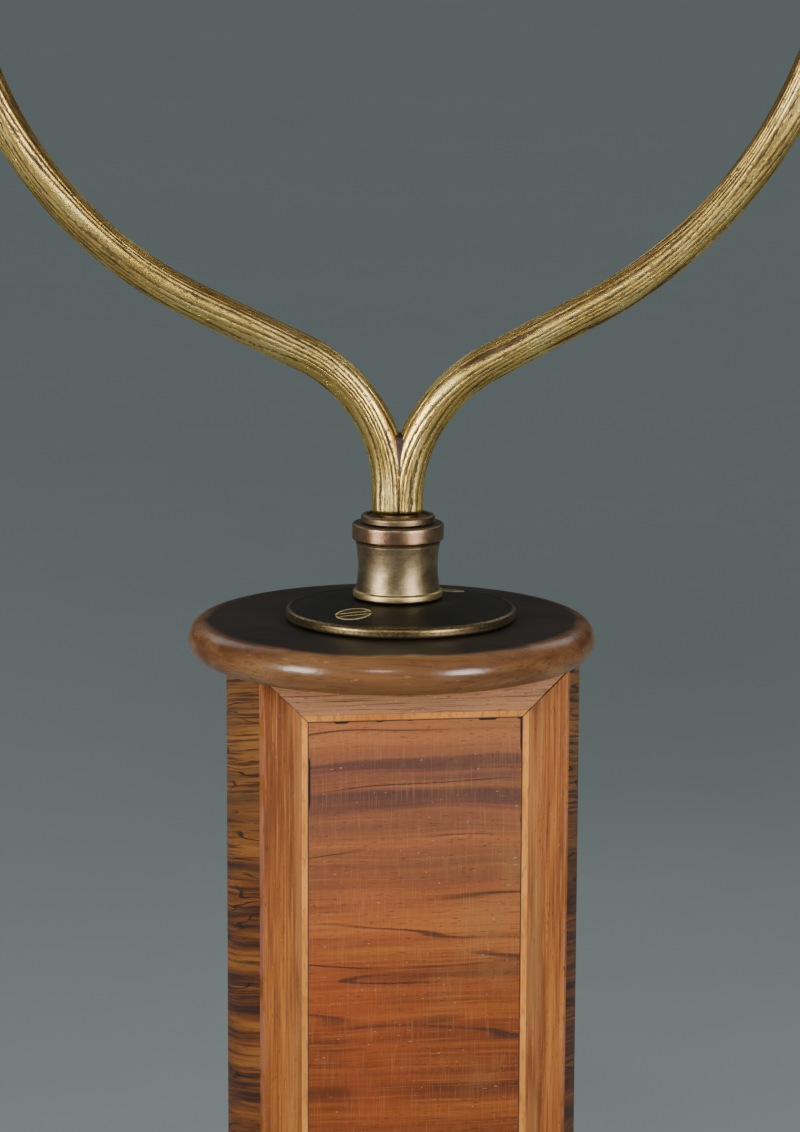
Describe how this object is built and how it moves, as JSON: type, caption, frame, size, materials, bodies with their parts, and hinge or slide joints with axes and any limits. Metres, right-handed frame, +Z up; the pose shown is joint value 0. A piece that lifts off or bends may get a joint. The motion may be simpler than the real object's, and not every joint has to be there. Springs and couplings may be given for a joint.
{
  "type": "stereo viewer",
  "caption": "Pedestal stereo viewer: veneered round column with flat inlaid faces, swivelling brass fork and a tilting wooden viewing head with rack focusing, light flap and glazed rear door.",
  "frame": {"origin": "centre of the underside of the round base, on the fork's swivel axis", "axes": "+Z up along the swivel axis, eyepieces facing -Y, +X to the right for someone looking along +Y at the eyepieces' side"},
  "size_m": [0.2168, 0.1898, 0.5075],
  "materials": {
    "walnut": "dark polished turned and moulded wood, worn to a lighter red-brown at the edge",
    "kingwood": "orange-brown striped veneer laid with its grain across, old satin polish",
    "banding": "straight-grained veneer cross-banding, old satin polish",
    "boxwood": "pale stringing inlaid between banding and panel",
    "pine": "plain softwood core",
    "gilt_brass": "finely reeded brass rod, gilt lacquer rubbed bright on the ridges, brown in the grooves",
    "old_brass": "brass with dark brown patina, bright where handled",
    "brass": "turned brass with old lacquer",
    "steel": "plain turned steel",
    "iron": "rough cast iron",
    "felt": "green baize",
    "ebony": "turned black wood, waxed",
    "blackened_wood": "matt black stained wood",
    "washer_leather": "dark leather washer",
    "lens_glass": "clear polished glass",
    "ground_glass": "finely ground glass, matt on the inner face",
    "mirror": "silvered glass"
  },
  "bodies": {
    "pedestal": {"felt_pad": "felt", "base_weight": "iron", "base_screws": "brass", "base_plinth": "walnut", "base_step": "walnut", "column_bolt": "steel", "column_core": "pine", "side_veneers": "kingwood", "column_panels": "kingwood", "stringing": "boxwood", "crossbanding": "banding", "column_cap": "walnut", "flange_plate": "old_brass", "flange_screws": "brass", "collar": "old_brass"},
    "fork": {"top_ring": "old_brass", "fork_stem": "brass", "stem_washer": "steel", "stem_nut": "steel", "left_arm": "gilt_brass", "right_arm": "gilt_brass", "crotch_web": "old_brass", "friction_washers": "washer_leather"},
    "left_clamp": {"left_thumbscrew": "brass"},
    "right_clamp": {"right_thumbscrew": "brass"},
    "head": {"left_side": "kingwood", "right_side": "kingwood", "bottom_board": "kingwood", "top_front": "kingwood", "top_rear": "kingwood", "front_frame": "walnut", "septum": "blackened_wood", "card_rails": "walnut", "pivot_plates": "brass", "plate_screws": "brass", "shaft_bushes": "brass", "flap_hinges": "brass", "door_hinges": "brass"},
    "carriage": {"lens_board": "walnut", "carriage_sleeve": "walnut", "carriage_septum": "blackened_wood", "left_tube": "brass", "right_tube": "brass", "left_lens": "lens_glass", "right_lens": "lens_glass", "lens_rings": "brass", "left_eyecup": "ebony", "right_eyecup": "ebony", "focus_racks": "brass"},
    "pinion": {"focus_shaft": "steel", "focus_pinions": "brass", "focus_knobs": "brass"},
    "flap": {"light_flap": "kingwood", "flap_mirror": "mirror", "flap_leaves": "brass", "flap_knob": "brass"},
    "door": {"door_frame": "walnut", "ground_glass": "ground_glass", "door_beads": "walnut", "door_leaves": "brass"}
  },
  "joints": [
    {"name": "fork_swivel", "type": "hinge", "parent": "pedestal", "child": "fork", "pos_m": [0, 0, 0.2449], "axis": [0, 0, 1], "continuous": true},
    {"name": "head_tilt", "type": "hinge", "parent": "fork", "child": "head", "pos_m": [0, 0, 0.4453], "axis": [1, 0, 0], "range_deg": [-30, 25]},
    {"name": "left_clamp_turn", "type": "hinge", "parent": "head", "child": "left_clamp", "pos_m": [-0.099, 0, 0.4453], "axis": [-1, 0, 0], "range_deg": [0, 540]},
    {"name": "right_clamp_turn", "type": "hinge", "parent": "head", "child": "right_clamp", "pos_m": [0.099, 0, 0.4453], "axis": [1, 0, 0], "range_deg": [0, 540]},
    {"name": "focus_turn", "type": "hinge", "parent": "head", "child": "pinion", "pos_m": [0, -0.04, 0.41173], "axis": [1, 0, 0], "range_deg": [0, 171.89]},
    {"name": "focus_slide", "type": "slide", "parent": "head", "child": "carriage", "axis": [0, -1, 0], "range_m": [0, 0.0126]},
    {"name": "flap_hinge", "type": "hinge", "parent": "head", "child": "flap", "pos_m": [0, -0.02167, 0.49299], "axis": [1, 0, 0], "range_deg": [0, 110]},
    {"name": "door_hinge", "type": "hinge", "parent": "head", "child": "door", "pos_m": [0, 0.07615, 0.389], "axis": [-1, 0, 0], "range_deg": [0, 90]}
  ],
  "couplings": [
    {"joint": "focus_turn", "follows": "focus_slide", "rad_per_m": 238.1}
  ]
}
